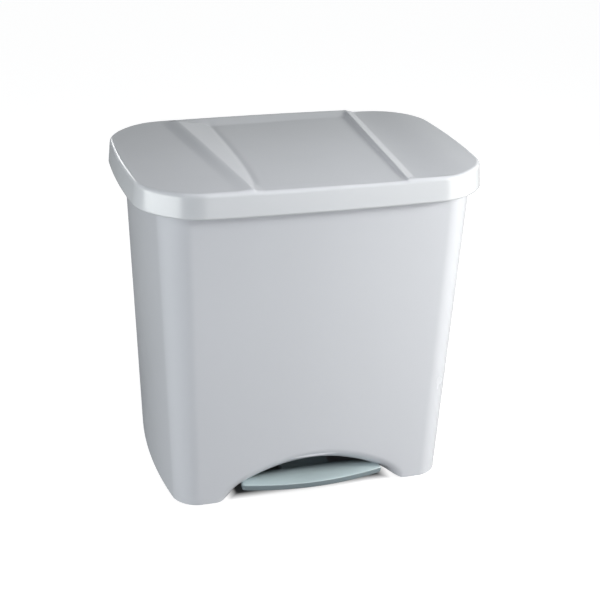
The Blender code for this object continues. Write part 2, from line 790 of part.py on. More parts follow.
def make_pads(mat):
    profile = [(0.0, PAD_RADIUS - 0.0008), (0.0008, PAD_RADIUS), (PAD_THICK, PAD_RADIUS)]
    for word, x, y in pad_places():
        new_object(f"foot_pad_{word}", *turned_z(profile, x, y, 24), mat)


def pivot(name, place, pieces):
    """An empty on a joint's axis that carries the pieces turning about it."""
    empty = bpy.data.objects.new(name, None)
    empty.location = place
    bpy.context.collection.objects.link(empty)
    for piece in pieces:
        piece.parent = empty
        piece.location = [-value for value in place]


def main():
    clear_scene()
    white = material("body_plastic", (0.80, 0.82, 0.84), 0.32)
    lid_white = material("lid_plastic", (0.78, 0.80, 0.82), 0.28)
    grey = material("pedal_plastic", (0.36, 0.43, 0.45), 0.42)
    bucket_grey = material("bucket_plastic", (0.30, 0.32, 0.34), 0.50)
    black = material("rubber", (0.04, 0.04, 0.045), 0.80)
    bracket = material("bracket_plastic", (0.22, 0.24, 0.26), 0.55)
    steel = material("steel", (0.62, 0.63, 0.65), 0.30, 1.0)

    make_body_shell(white)
    lid = make_lid(lid_white)
    pedal = make_pedal(grey)
    make_pins(steel)
    make_saddles(bracket, steel)
    rod_pieces = make_rod(steel)
    make_rod_cover(bracket, steel)
    make_pads(black)
    sides = (("left", -1), ("right", 1))
    bumpers = [make_bumper(f"lid_bumper_{word}", side, black) for word, side in sides]
    for word, side in sides:
        make_bucket(f"bucket_{word}", side, bucket_grey)
        bail = make_bail(f"bail_{word}", side, steel)
        grip = make_grip(f"bail_grip_{word}", side, black)
        pivot(f"bail_axis_{word}", (side * BUCKET_X, 0.0, BAIL_Z), [bail, grip])
    pivot("lid_axis", (0.0, HINGE_Y, HINGE_Z), [lid] + bumpers)
    pivot("pedal_axis", (0.0, AXLE_Y, AXLE_Z), [pedal])
    pivot("rod_axis", (0.0, ROD_Y, ROD_BOTTOM), rod_pieces)


main()
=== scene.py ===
import json
import math

import bmesh
import bpy
import numpy as np
from mathutils import Matrix, Vector


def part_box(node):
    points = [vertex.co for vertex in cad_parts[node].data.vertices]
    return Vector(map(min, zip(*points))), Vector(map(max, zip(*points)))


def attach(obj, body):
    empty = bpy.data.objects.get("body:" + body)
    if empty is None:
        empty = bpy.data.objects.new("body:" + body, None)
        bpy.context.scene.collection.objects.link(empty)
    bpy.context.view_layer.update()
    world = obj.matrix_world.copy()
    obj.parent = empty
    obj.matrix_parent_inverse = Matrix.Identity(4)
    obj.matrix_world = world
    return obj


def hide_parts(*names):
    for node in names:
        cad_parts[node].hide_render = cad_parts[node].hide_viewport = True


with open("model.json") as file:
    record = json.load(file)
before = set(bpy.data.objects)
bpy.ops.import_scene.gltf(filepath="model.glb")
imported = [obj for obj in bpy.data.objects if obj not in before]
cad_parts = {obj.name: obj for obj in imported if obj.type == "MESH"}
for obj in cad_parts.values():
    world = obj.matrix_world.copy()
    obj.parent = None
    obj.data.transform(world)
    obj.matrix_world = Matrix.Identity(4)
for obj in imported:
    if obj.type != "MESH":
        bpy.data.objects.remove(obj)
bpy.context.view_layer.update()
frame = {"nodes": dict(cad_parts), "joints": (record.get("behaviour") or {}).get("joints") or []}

# ---- Sizes, from the frame where it has them ----
LID_LOW, LID_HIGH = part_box("lid")
BODY_LOW, BODY_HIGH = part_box("body_shell")
PEDAL_LOW, PEDAL_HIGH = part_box("pedal")
JOINTS = {joint["name"]: joint for joint in frame["joints"]}
HINGE = JOINTS["lid_hinge"]["pos_m"]
AXLE = JOINTS["pedal_pivot"]["pos_m"]
ROD_EYE = JOINTS["rod_pivot"]["pos_m"]

LID_TOP = LID_HIGH[2]
LID_BOTTOM = 0.3664
LID_SKIN = 0.0025
LID_BOW = (0.0095, 0.0071)
LID_HALF = (LID_HIGH[0] - LID_BOW[0], LID_HIGH[1] - LID_BOW[1])
LID_CORNER = 0.0632
EDGE_INSET = 0.0068
EDGE_DROP = 0.0058
SKIRT_INSET = 0.0019

TRAY_LEFT = ((-0.084, -0.128), (-0.110, 0.134))
TRAY_RIGHT = ((0.0907, -0.138), (0.1107, 0.135))
TRAY_FRONT = -0.130
TRAY_BACK = 0.1395
TRAY_DEEPEST = 0.118
SCOOP_LEFT = 0.040
SCOOP_RIGHT = 0.0022
RIB_TOP = 0.0006
RIB_SLOPE = 0.0118
RIB_FRONT = -0.1390
RIB_FADE = 0.008
WING_DROP = 0.0036
WING_RUN = 0.070
BACK_WALL = 0.0185
PANEL_FRONT = 0.0010
PANEL_BACK = 0.0052
TILT_FRONT, TILT_BACK = 0.0008, -0.0020
CREST_HEIGHT = 0.0032
CREST_WIDTH = 0.0205
SEAM_DEPTH = 0.0006
SEAM_WIDTH = 0.0045
LID_ROWS = 120
LID_COLUMNS = (58, 130, 58)

BODY_RIM = BODY_HIGH[2]
BODY_FOOT = BODY_LOW[2]
BODY_SKIN = 0.0025
RIM_LIP = 0.0018
LOW_PLAN = {
    "half": 0.161,
    "front": -0.1155,
    "back": 0.124,
    "corner": 0.024,
    "bow_x": 0.011,
    "bow_y": 0.005,
}
HIGH_PLAN = {
    "half": 0.177,
    "front": -0.128,
    "back": 0.1264,
    "corner": 0.030,
    "bow_x": 0.0095,
    "bow_y": 0.0071,
}
RIM_PROFILE = (
    (-0.0042, 0.0),
    (-0.0036, 0.0005),
    (-0.0032, RIM_LIP),
    (-0.0008, RIM_LIP),
    (-0.0002, RIM_LIP - 0.0006),
    (0.0, 0.0002),
    (0.0, -0.0012),
)
ARCH_HEIGHT = 0.0395
ARCH_FOOT = 0.111
ARCH_FLARE = 0.004
ARCH_ROLL = 0.015
ARCH_ROLL_HEIGHT = 0.019
NOTCH_HALF, NOTCH_FOOT = 0.0065, 0.3635
FLOOR_UNDER, FLOOR_TOP = 0.0495, 0.052
FLOOR_FOOT = FLOOR_UNDER + 0.0002

TREAD_HALF = PEDAL_HIGH[0]
TREAD_FRONT = PEDAL_LOW[1]
TREAD_TIP = -0.1185
TREAD_BACK = -0.0925
TREAD_TIP_BACK = -0.112
TREAD_EDGE = 0.0014
TIP_ROUND = 0.0026
PEDAL_FOOT = 0.0125
PEDAL_TOP = 0.0215
AXLE_BORE = 0.00315
HUB_RADIUS = 0.0068

ROD_LOW, ROD_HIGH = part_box("push_rod")
ROD_X = 0.009
ROD_RADIUS = 0.00225
ROD_TOP = ROD_HIGH[2] - ROD_RADIUS
ROD_BEND = 0.0045

HINGE_X = 0.098
BUCKET_X = 0.087
BUCKET_RIM = 0.352
BUCKET_WALL = 0.0018
PAD_PROFILE = (
    (0.0012, 0.00005),
    (0.0012, 0.0040),
    (0.0, 0.0044),
    (0.0, 0.0062),
    (0.0008, 0.0066),
    (0.0008, 0.0072),
    (0.0, 0.0076),
    (0.0, 0.0090),
    (0.0003, 0.0096),
    (0.0010, 0.0100),
    (0.0026, 0.0100),
    (0.0033, 0.0094),
    (0.0033, 0.00005),
)
PAD_WORDS = ("front_left", "front_right", "back_left", "back_right")
SIDES = ((-1, "left"), (1, "right"))

FLOW_SHIFT = 0.02
ROUGH_SPREAD = 0.05
GRAIN_SCALE = 900.0
FLOOR_GLOW = 0.92
WORLD_LOW, WORLD_HIGH = 0.56, 0.02
BACKDROP = 1.06


# ---- Materials ----
def shader_of(name):
    mat = bpy.data.materials.new(name)
    mat.use_nodes = True
    return mat, mat.node_tree, mat.node_tree.nodes["Principled BSDF"]


def noise(tree, scale, detail=2.0, stretch=None):
    """Noise over the piece's own coordinates, in metres."""
    place = tree.nodes.new("ShaderNodeTexCoord")
    texture = tree.nodes.new("ShaderNodeTexNoise")
    texture.inputs["Scale"].default_value = scale
    texture.inputs["Detail"].default_value = detail
    source = place.outputs["Object"]
    if stretch:
        mapping = tree.nodes.new("ShaderNodeMapping")
        mapping.inputs["Scale"].default_value = stretch
        tree.links.new(source, mapping.inputs["Vector"])
        source = mapping.outputs["Vector"]
    tree.links.new(source, texture.inputs["Vector"])
    return texture.outputs["Fac"]


def span(tree, source, low, high, start=0.3, stop=0.7):
    node = tree.nodes.new("ShaderNodeMapRange")
    node.inputs["From Min"].default_value = start
    node.inputs["From Max"].default_value = stop
    node.inputs["To Min"].default_value = low
    node.inputs["To Max"].default_value = high
    tree.links.new(source, node.inputs["Value"])
    return node.outputs["Result"]


def math_node(tree, operation, *values):
    node = tree.nodes.new("ShaderNodeMath")
    node.operation = operation
    for socket, value in zip(node.inputs, values):
        if isinstance(value, (int, float)):
            socket.default_value = value
        else:
            tree.links.new(value, socket)
    return node.outputs[0]


def blend_colour(tree, factor, first, second):
    node = tree.nodes.new("ShaderNodeMix")
    node.data_type = "RGBA"
    tree.links.new(factor, node.inputs["Factor"])
    for socket, colour in ((node.inputs[6], first), (node.inputs[7], second)):
        if isinstance(colour, tuple):
            socket.default_value = (*colour, 1.0)
        else:
            tree.links.new(colour, socket)
    return node.outputs[2]


def bump(tree, shader, height, strength, distance):
    node = tree.nodes.new("ShaderNodeBump")
    node.inputs["Strength"].default_value = strength
    node.inputs["Distance"].default_value = distance
    tree.links.new(height, node.inputs["Height"])
    tree.links.new(node.outputs["Normal"], shader.inputs["Normal"])


def moulded(name, colour, rough, grain_height=0.00002, worn=0.06, coat=0.0):
    """Moulded plastic: flow marks in the colour, a fine grain, and edges rubbed a little lighter."""
    mat, tree, shader = shader_of(name)
    darker = tuple(c * (1 - FLOW_SHIFT) for c in colour)
    lighter = tuple(min(1.0, c * (1 + FLOW_SHIFT)) for c in colour)
    marks = span(tree, noise(tree, 9.0, 2.0, (1.0, 1.0, 0.35)), 0.0, 1.0, 0.1, 0.9)
    flow = blend_colour(tree, marks, darker, lighter)
    geometry = tree.nodes.new("ShaderNodeNewGeometry")
    edge = span(tree, geometry.outputs["Pointiness"], 0.0, worn / 0.06 * 0.5, 0.52, 0.60)
    rubbed = tuple(min(1.0, c * (1 + worn * 2) + 0.01) for c in colour)
    tree.links.new(blend_colour(tree, edge, flow, rubbed), shader.inputs["Base Color"])
    dull, shiny = rough + ROUGH_SPREAD / 2, rough - ROUGH_SPREAD / 2
    smear = span(tree, noise(tree, 22.0, 4.0), shiny, dull, 0.1, 0.9)
    tree.links.new(smear, shader.inputs["Roughness"])
    bump(tree, shader, noise(tree, GRAIN_SCALE, 2.0), 0.35, grain_height)
    shader.inputs["Coat Weight"].default_value = coat
    shader.inputs["Coat Roughness"].default_value = 0.08
    return mat


def paint_top_light(mat, colour, front, back):
    """Painted light: the faces that look up are painted paler, standing in for light from above, in front of
    the line y = front, fading out at y = back.
    """
    tree = mat.node_tree
    shader = tree.nodes["Principled BSDF"]
    under = shader.inputs["Base Color"].links[0].from_socket
    facing = tree.nodes.new("ShaderNodeSeparateXYZ")
    tree.links.new(tree.nodes.new("ShaderNodeNewGeometry").outputs["Normal"], facing.inputs["Vector"])
    place = tree.nodes.new("ShaderNodeSeparateXYZ")
    tree.links.new(tree.nodes.new("ShaderNodeTexCoord").outputs["Object"], place.inputs["Vector"])
    upward = span(tree, facing.outputs["Z"], 0.0, 0.85, 0.25, 0.85)
    forward = span(tree, place.outputs["Y"], 1.0, 0.0, front, back)
    # noise that varies how much painted light the upward faces get
    patchy_light = span(tree, noise(tree, 70.0, 4.0, (0.35, 1.0, 1.0)), 0.90, 1.10)
    share = math_node(tree, "MULTIPLY", math_node(tree, "MULTIPLY", upward, forward), patchy_light)
    tree.links.new(blend_colour(tree, share, under, colour), shader.inputs["Base Color"])


def drawn_steel(name, colour, rough, stretch):
    """Steel with fine marks along the direction it was drawn in."""
    mat, tree, shader = shader_of(name)
    streak = noise(tree, 300.0, 3.0, stretch)
    dark = tuple(c * 0.82 for c in colour)
    shade = blend_colour(tree, span(tree, streak, 0.0, 1.0), dark, colour)
    tree.links.new(shade, shader.inputs["Base Color"])
    shader.inputs["Metallic"].default_value = 1.0
    tree.links.new(span(tree, streak, rough - 0.06, rough + 0.08), shader.inputs["Roughness"])
    bump(tree, shader, streak, 0.25, 0.00002)
    return mat


def rubber(name, colour):
    """Matt rubber with a little dust."""
    mat, tree, shader = shader_of(name)
    dusty = tuple(min(1.0, c * 1.6 + 0.015) for c in colour)
    shade = blend_colour(tree, span(tree, noise(tree, 60.0, 4.0), 0.0, 1.0), colour, dusty)
    tree.links.new(shade, shader.inputs["Base Color"])
    tree.links.new(span(tree, noise(tree, 45.0, 3.0), 0.62, 0.85), shader.inputs["Roughness"])
    bump(tree, shader, noise(tree, 1400.0, 2.0), 0.5, 0.00005)
    return mat


BODY_PLASTIC = moulded("body_plastic", (0.595, 0.610, 0.650), 0.26, coat=0.2)
LID_PLASTIC = moulded("lid_plastic", (0.595, 0.612, 0.640), 0.25, coat=0.2)
PEDAL_PLASTIC = moulded("pedal_plastic", (0.20, 0.245, 0.265), 0.30, grain_height=0.00004, worn=0.12)
# The pedal's plastic is the darker colour; the paler colour is painted light on its upward faces, standing in
# for light from above.
paint_top_light(PEDAL_PLASTIC, (0.52, 0.62, 0.645), -0.104, -0.094)
BUCKET_PLASTIC = moulded("bucket_plastic", (0.23, 0.25, 0.27), 0.46, grain_height=0.00004, worn=0.10)
BRACKET_PLASTIC = moulded("bracket_plastic", (0.13, 0.145, 0.16), 0.50, grain_height=0.00004, worn=0.10)
RUBBER = rubber("rubber", (0.022, 0.022, 0.025))
STEEL_X = drawn_steel("steel_along_x", (0.60, 0.61, 0.63), 0.30, (0.02, 1.0, 1.0))
STEEL_Z = drawn_steel("steel_along_z", (0.60, 0.61, 0.63), 0.30, (1.0, 1.0, 0.02))


# ---- Mesh helpers ----
def placed(name, data):
    obj = bpy.data.objects.new(name, data)
    bpy.context.scene.collection.objects.link(obj)
    return obj


def piece(name, verts, faces, mat, body, replaces=(), angle=40):
    """A visible piece that rides on a body and may stand in for CAD nodes."""
    mesh = bpy.data.meshes.new(name)
    mesh.from_pydata([tuple(map(float, v)) for v in verts], [], faces)
    mesh.update()
    mesh.shade_smooth()
    mesh.set_sharp_from_angle(angle=math.radians(angle))
    mesh.materials.append(mat)
    obj = placed(name, mesh)
    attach(obj, body)
    if replaces:
        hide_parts(*replaces)
    return obj


def net(rows):
    """Quads between rows of equal length, each row closed on itself."""
    width = len(rows[0])
    faces = []
    for r in range(len(rows) - 1):
        low, high = r * width, (r + 1) * width
        for c in range(width):
            d = (c + 1) % width
            faces.append((low + c, low + d, high + d, high + c))
    return faces


def closed_loft(rows):
    """A solid through rings, capped at both ends."""
    width = len(rows[0])
    faces = net(rows) + [tuple(reversed(range(width)))]
    last = (len(rows) - 1) * width
    return [p for row in rows for p in row], faces + [tuple(range(last, last + width))]


def closed_sleeve(rows):
    """A solid through rings that closes from the last ring back to the first."""
    width = len(rows[0])
    last = (len(rows) - 1) * width
    closing = [(last + c, last + (c + 1) % width, (c + 1) % width, c) for c in range(width)]
    return [p for row in rows for p in row], net(rows) + closing


def thicken(obj, thickness):
    modifier = obj.modifiers.new("wall", "SOLIDIFY")
    modifier.thickness = thickness
    modifier.offset = -1.0
    modifier.use_rim = True
    modifier.use_even_offset = False


def soften(obj, width, segments=3, angle=35):
    modifier = obj.modifiers.new("soft edges", "BEVEL")
    modifier.width = width
    modifier.segments = segments
    modifier.limit_method = "ANGLE"
    modifier.angle_limit = math.radians(angle)
    modifier.harden_normals = False


def turned(profile, centre, axis, count=48):
    """Rings of a turned shape: profile holds (distance along the axis, radius)."""
    rows = []
    for along, radius in profile:
        ring = []
        for i in range(count):
            a = 2 * math.pi * i / count
            u, v = radius * math.cos(a), radius * math.sin(a)
            offset = {"x": (along, u, v), "y": (v, along, u), "z": (u, v, along)}[axis]
            ring.append(tuple(c + o for c, o in zip(centre, offset)))
        rows.append(ring)
    return rows


def outline(s, half, front, back, corner, bow_x, bow_y, grow=0.0):
    """Plan of a box with round corners and bowed sides; s runs from 0 to 8 as corner, side, corner ..."""
    half, front, back, corner = half + grow, front - grow, back + grow, corner + grow
    s = np.mod(np.asarray(s, float), 8.0)
    part, share = np.floor(s).astype(int), s - np.floor(s)
    middle, deep = (front + back) / 2, (back - front) / 2
    x, y = np.zeros_like(s), np.zeros_like(s)
    quarters = ((-1, -1), (1, -1), (1, 1), (-1, 1))
    centres = [(sx * (half - corner), middle + sy * (deep - corner)) for sx, sy in quarters]
    for k, (cx, cy) in enumerate(centres):
        turn = math.pi + math.pi / 2 * (k + share)
        x = np.where(part == 2 * k, cx + corner * np.cos(turn), x)
        y = np.where(part == 2 * k, cy + corner * np.sin(turn), y)
        nx, ny = centres[(k + 1) % 4]
        out = math.pi + math.pi / 2 * (k + 1)
        ox, oy = corner * math.cos(out), corner * math.sin(out)
        x = np.where(part == 2 * k + 1, cx + ox + (nx - cx) * share, x)
        y = np.where(part == 2 * k + 1, cy + oy + (ny - cy) * share, y)
    across, along = x / half, (y - middle) / deep
    bowed_x = x + np.sign(x) * bow_x * (1 - along**2) * across**4
    bowed_y = y + np.sign(y - middle) * bow_y * (1 - across**2) * along**4
    return bowed_x, bowed_y


def spread_out(start, stop, steps, curve):
    """Parameters from start to stop whose points are evenly spaced along the curve."""
    fine = np.linspace(start, stop, 2000)
    x, y = curve(fine)
    length = np.concatenate([[0], np.cumsum(np.hypot(np.diff(x), np.diff(y)))])
    return np.interp(np.linspace(0, length[-1], steps + 1), length, fine)


# ---- Lid ----
def lid_plan(s, inset):
    return outline(s, LID_HALF[0], -LID_HALF[1], LID_HALF[1], LID_CORNER, *LID_BOW, grow=-inset)


def edge_x(line, y):
    (x0, y0), (x1, y1) = line
    return x0 + (x1 - x0) * (y - y0) / (y1 - y0)


def ramp(distance, radius):
    """Zero on one side and the distance on the other, with a rounded turn between."""
    return (distance + np.sqrt(distance**2 + radius**2)) / 2


def soft_min(a, b, k):
    return (a + b - np.sqrt((a - b) ** 2 + k**2)) / 2


def tray_drop(x, y):
    """How far the lid's top lies below its highest level."""
    t = np.clip((y - TRAY_FRONT) / (TRAY_DEEPEST - TRAY_FRONT), 0.0, 1.15)
    tilt = (TILT_FRONT + (TILT_BACK - TILT_FRONT) * t) * smooth_step((x + 0.03) / 0.13)
    panel = PANEL_FRONT + (PANEL_BACK - PANEL_FRONT) * t + tilt
    left = x - edge_x(TRAY_LEFT, y)
    right = edge_x(TRAY_RIGHT, y) - x
    back = TRAY_BACK - 0.0065 * (x / 0.195) ** 2 - y
    scoop = SCOOP_LEFT * np.maximum(t, 0.003) ** 0.57
    seam = SEAM_DEPTH * np.exp(-(((left - scoop) / SEAM_WIDTH) ** 2)) * smooth_step(t / 0.08)
    share = soft_min(np.clip(left / scoop, 0, 1.3), ramp(right, 0.0010) / SCOOP_RIGHT, 0.02)
    share = soft_min(share, ramp(back, 0.0020) / BACK_WALL, 0.03)
    share = soft_min(share, np.ones_like(share), 0.03)
    crown = 0.0012 * np.clip((np.abs(x) - 0.09) / 0.10, 0, 1) ** 2
    rib = rib_drop(-right) * smooth_step((y - RIB_FRONT) / RIB_FADE)
    return (panel + seam) * np.maximum(share, 0.0) + crown - crest_rise(left, scoop, back, t) + rib


def crest_rise(left, scoop, back, t):
    """The low crest along the tray's left edge; it fades out towards the front and at the back wall."""
    rise = smooth_step(1 + left / CREST_WIDTH)
    fall = np.clip(1 - left / np.maximum(scoop, 0.012), 0, 1) ** 1.2
    crest = soft_min(np.where(left < 0, rise, 1.0), np.where(left > 0, fall, 1.0), 0.12)
    return CREST_HEIGHT * np.clip(crest, 0, 1) * np.clip(0.35 + t, 0, 1) * smooth_step(back / 0.016)


def rib_drop(past):
    """The rib along the tray's right edge: steep on the tray's side, a broad bevel down to the right wing."""
    climb = -RIB_TOP * np.clip(1 + past / SCOOP_RIGHT, 0, 1)
    bevel = (RIB_TOP + WING_DROP) * np.clip(past / RIB_SLOPE, 0, 1)
    regain = -WING_DROP * smooth_step((past - RIB_SLOPE) / WING_RUN)
    return climb + bevel + regain


def lid_rim(s):
    return lid_plan(s, EDGE_INSET)


def rim_points(s):
    return np.column_stack(lid_rim(s))


def line_end(line, back):
    """The parameter at which a tray edge meets the top's front or back outline."""
    s = np.linspace(5.0, 6.0, 4001) if back else np.linspace(1.0, 2.0, 4001)
    x, y = lid_rim(s)
    return float(s[np.argmin(np.abs(x - edge_x(line, y)))])


def coons(front, back, left, right):
    """A patch between four curves: front and back run left to right, left and right run front to back."""
    columns, rows = len(front), len(left)
    u = np.linspace(0, 1, columns)[None, :, None]
    v = np.linspace(0, 1, rows)[:, None, None]
    ruled = (1 - v) * front[None] + v * back[None] + (1 - u) * left[:, None] + u * right[:, None]
    corners = (1 - u) * (1 - v) * front[0] + u * (1 - v) * front[-1]
    corners = corners + (1 - u) * v * back[0] + u * v * back[-1]
    return ruled - corners


def lid_top():
    """The top as a grid of points, and the outline's parameters along its front, back, left and right."""
    marks = []
    for back, start, stop in ((False, 0.5, 2.5), (True, 6.5, 4.5)):
        marks.append([start, line_end(TRAY_LEFT, back), line_end(TRAY_RIGHT, back), stop])
    front_s, back_s = (
        [spread_out(ends[i], ends[i + 1], LID_COLUMNS[i], lid_rim) for i in range(3)] for ends in marks
    )
    left_s = spread_out(8.5, 6.5, LID_ROWS, lid_rim)
    right_s = spread_out(2.5, 4.5, LID_ROWS, lid_rim)
    share = np.linspace(0, 1, LID_ROWS + 1)[:, None]
    sides = [rim_points(left_s)]
    for i in (0, 1):
        start, stop = rim_points(front_s[i])[-1], rim_points(back_s[i])[-1]
        sides.append(start * (1 - share) + stop * share)
    sides.append(rim_points(right_s))
    patches = [coons(rim_points(front_s[i]), rim_points(back_s[i]), sides[i], sides[i + 1]) for i in range(3)]
    plan = np.concatenate([patches[0], patches[1][:, 1:], patches[2][:, 1:]], axis=1)
    top = np.dstack([plan, LID_TOP - tray_drop(plan[..., 0], plan[..., 1])])
    s_front = np.concatenate([front_s[0], front_s[1][1:], front_s[2][1:]])
    s_back = np.concatenate([back_s[0], back_s[1][1:], back_s[2][1:]])
    return top, s_front, s_back, left_s, right_s


def make_lid():
    """The top grid with a round edge and a skirt, as one skin."""
    top, s_front, s_back, s_left, s_right = lid_top()
    height, width = top.shape[:2]
    index = np.arange(height * width).reshape(height, width)
    loop = np.concatenate([index[0, :-1], index[:-1, -1], index[-1, :0:-1], index[:0:-1, 0]])
    loop_s = np.concatenate([s_front[:-1], s_right[:-1], s_back[:0:-1], s_left[:0:-1]])
    flat = top.reshape(-1, 3)
    drop = LID_TOP - flat[loop, 2]
    verts = [flat]
    faces = [
        (index[r, c], index[r, c + 1], index[r + 1, c + 1], index[r + 1, c])
        for r in range(height - 1)
        for c in range(width - 1)
    ]
    previous, start = loop, len(flat)
    for inset, z, keep in lid_edge_profile():
        x, y = lid_plan(loop_s, inset)
        verts.append(np.column_stack([x, y, z - drop * keep]))
        ring = start + np.arange(len(loop))
        for c in range(len(loop)):
            d = (c + 1) % len(loop)
            faces.append((ring[c], ring[d], previous[d], previous[c]))
        previous = ring
        start += len(loop)
    faces = [tuple(int(i) for i in face) for face in faces]
    lid = piece("lid_skin", np.concatenate(verts), faces, LID_PLASTIC, "lid", ["lid"], angle=75)
    thicken(lid, LID_SKIN)


def lid_edge_profile():
    """(inset, height, share of the tray's drop) from the top's round edge down the skirt."""
    profile = []
    for i in range(1, 9):
        a = math.pi / 2 * i / 8
        inset = SKIRT_INSET + (EDGE_INSET - SKIRT_INSET) * (1 - math.sin(a))
        profile.append((inset, LID_TOP - EDGE_DROP * (1 - math.cos(a)), 1 - i / 8))
    bottom, top = LID_BOTTOM, LID_TOP - EDGE_DROP
    for share in (0.2, 0.4, 0.6, 0.8, 0.93, 1.0):
        profile.append((SKIRT_INSET * (1 - share), top + (bottom - top) * share, 0.0))
    return profile


# ---- Body ----
def body_plan(z, s, grow=0.0):
    t = z / LID_BOTTOM
    sizes = {key: LOW_PLAN[key] + (HIGH_PLAN[key] - LOW_PLAN[key]) * t for key in LOW_PLAN}
    return outline(s, **sizes, grow=grow)


def arch_edge(x):
    rise = ARCH_HEIGHT * (1 - (x / ARCH_FOOT) ** 2)
    return BODY_FOOT + (rise + np.hypot(rise, ARCH_FLARE)) / 2


def smooth_step(value):
    value = np.clip(value, 0, 1)
    return value * value * (3 - 2 * value)


def perimeter(corner=22, front=150, side=44, back=67):
    marks = []
    for k, count in enumerate((front, side, back, side)):
        marks.append(np.linspace(2 * k, 2 * k + 1, corner, endpoint=False))
        marks.append(np.linspace(2 * k + 1, 2 * k + 2, count, endpoint=False))
    return np.concatenate(marks)


def body_ring(s, lift, share):
    """A ring of the wall, lift above its bottom edge and share of the way to the rim; the arch rolls in."""
    foot_x, foot_y = body_plan(0.0, s)
    in_front = (foot_y < 0) & (np.abs(foot_x) < ARCH_FOOT + 0.024)
    foot = np.where(in_front, arch_edge(foot_x), BODY_FOOT) + lift
    z = foot + (BODY_RIM - foot) * share
    ring = []
    for i in range(len(s)):
        x, y = body_plan(z[i], s[i : i + 1])
        x, y = float(x[0]), float(y[0])
        if y < 0:
            left = 1 - min(1.0, max(0.0, z[i] - arch_edge(x)) / ARCH_ROLL_HEIGHT)
            roll = ARCH_ROLL * left**2.2
            y += roll * float(smooth_step((ARCH_FOOT + 0.006 - abs(x)) / 0.030))
        ring.append((x, y, float(z[i])))
    return ring


def make_body():
    s = perimeter()
    notch_share = (NOTCH_FOOT - ARCH_ROLL_HEIGHT) / (BODY_RIM - ARCH_ROLL_HEIGHT)
    turns = np.linspace(0, math.pi / 2, 15)
    rows = [body_ring(s, ARCH_ROLL_HEIGHT * (1 - math.cos(a)), 0.0) for a in turns]
    shares = (*np.linspace(0.03, 0.93, 24), notch_share, 0.985)
    rows += [body_ring(s, ARCH_ROLL_HEIGHT, share) for share in shares]
    for z, grow in RIM_PROFILE:
        x, y = body_plan(BODY_RIM + z, s, grow)
        rows.append(list(zip(x, y, [BODY_RIM + z] * len(s))))
    verts = [p for row in rows for p in row]
    faces = [face for face in net(rows) if not in_notch(np.mean([verts[i] for i in face], axis=0))]
    body = piece("body_wall", verts, faces, BODY_PLASTIC, "body", ["body_shell"], angle=75)
    thicken(body, BODY_SKIN)
    make_floor(s)
    make_bosses()
    make_floor_posts()
    make_hinge_ears()


def in_notch(middle):
    """True in the gap that the back wall's rim leaves for the lid's lever lug."""
    return abs(middle[0]) < NOTCH_HALF and middle[1] > 0 and middle[2] > NOTCH_FOOT


def make_floor(s):
    """The raised floor, with the slot that the push rod passes through."""
    hole = bmesh_box("floor_slot", (ROD_X - 0.005, 0.115, 0.04), (ROD_X + 0.005, 0.126, 0.06))
    rows = []
    for z, grow in ((FLOOR_UNDER, -0.0015), (FLOOR_TOP, -0.0015)):
        x, y = body_plan(z, s[::4], grow)
        rows.append(list(zip(x, y, [z] * len(x))))
    floor = piece("raised_floor", *closed_loft(rows), BODY_PLASTIC, "body")
    carve(floor, hole)
    soften(floor, 0.0006, 2)


def make_bosses():
    """Screw bosses under the raised floor and on the inside of the back wall."""
    for number in range(1, 5):
        low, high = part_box(f"saddle_screw_{number}")
        centre = ((low[0] + high[0]) / 2, (low[1] + high[1]) / 2, 0.0)
        profile = [
            (0.0436, 0.0021),
            (0.0436, 0.0040),
            (0.0440, 0.0044),
            (0.0470, 0.0045),
            (0.0485, 0.0053),
            (FLOOR_FOOT, 0.0070),
            (FLOOR_FOOT, 0.0021),
        ]
        rows = turned(profile, centre, "z", 32)
        piece(f"saddle_boss_{number}", *closed_sleeve(rows), BODY_PLASTIC, "body")
    for word in ("lower", "upper"):
        low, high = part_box(f"cover_screw_{word}")
        z = (low[2] + high[2]) / 2
        wall = float(body_plan(z, np.array([5.5]))[1][0]) - BODY_SKIN + 0.0006
        profile = [
            (0.1244, 0.0021),
            (0.1244, 0.0040),
            (0.1248, 0.0044),
            (wall - 0.0016, 0.0045),
            (wall, 0.0060),
            (wall, 0.0021),
        ]
        rows = turned(profile, ((low[0] + high[0]) / 2, 0.0, z), "y", 32)
        piece(f"cover_boss_{word}", *closed_sleeve(rows), BODY_PLASTIC, "body")


def bmesh_box(name, low, high):
    mesh = bpy.data.meshes.new(name)
    bm = bmesh.new()
    bmesh.ops.create_cube(bm, size=1.0)
    low, high = Vector(low), Vector(high)
    for vert in bm.verts:
        vert.co = Vector(((v + 0.5) * (b - a) + a for v, a, b in zip(vert.co, low, high)))
    bm.to_mesh(mesh)
    bm.free()
    return placed(name, mesh)


def cylinder_cutter(name, radius, centre, axis, half, count):
    mesh = bpy.data.meshes.new(name)
    verts, faces = closed_loft(turned([(-half, radius), (half, radius)], centre, axis, count))
    mesh.from_pydata(verts, [], faces)
    return placed(name, mesh)


def carve(obj, cutter):
    """Cuts the cutter's shape out of obj for good, and removes the cutter."""
    modifier = obj.modifiers.new("cut", "BOOLEAN")
    modifier.operation = "DIFFERENCE"
    modifier.object = cutter
    bpy.context.view_layer.update()
    graph = bpy.context.evaluated_depsgraph_get()
    cut_mesh = bpy.data.meshes.new_from_object(obj.evaluated_get(graph))
    obj.modifiers.clear()
    obj.data = cut_mesh
    bpy.data.objects.remove(cutter, do_unlink=True)


def make_floor_posts():
    """Four posts that carry the raised floor on the foot pads."""
    for pad in PAD_WORDS:
        low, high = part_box(f"foot_pad_{pad}")
        centre = ((low[0] + high[0]) / 2, (low[1] + high[1]) / 2, 0.0)
        profile = [
            (high[2] + 0.0003, 0.0080),
            (high[2] + 0.0010, 0.0088),
            (0.040, 0.0092),
            (0.0465, 0.0105),
            (FLOOR_FOOT, 0.0130),
        ]
        piece(f"floor_post_{pad}", *closed_loft(turned(profile, centre, "z")), BODY_PLASTIC, "body")


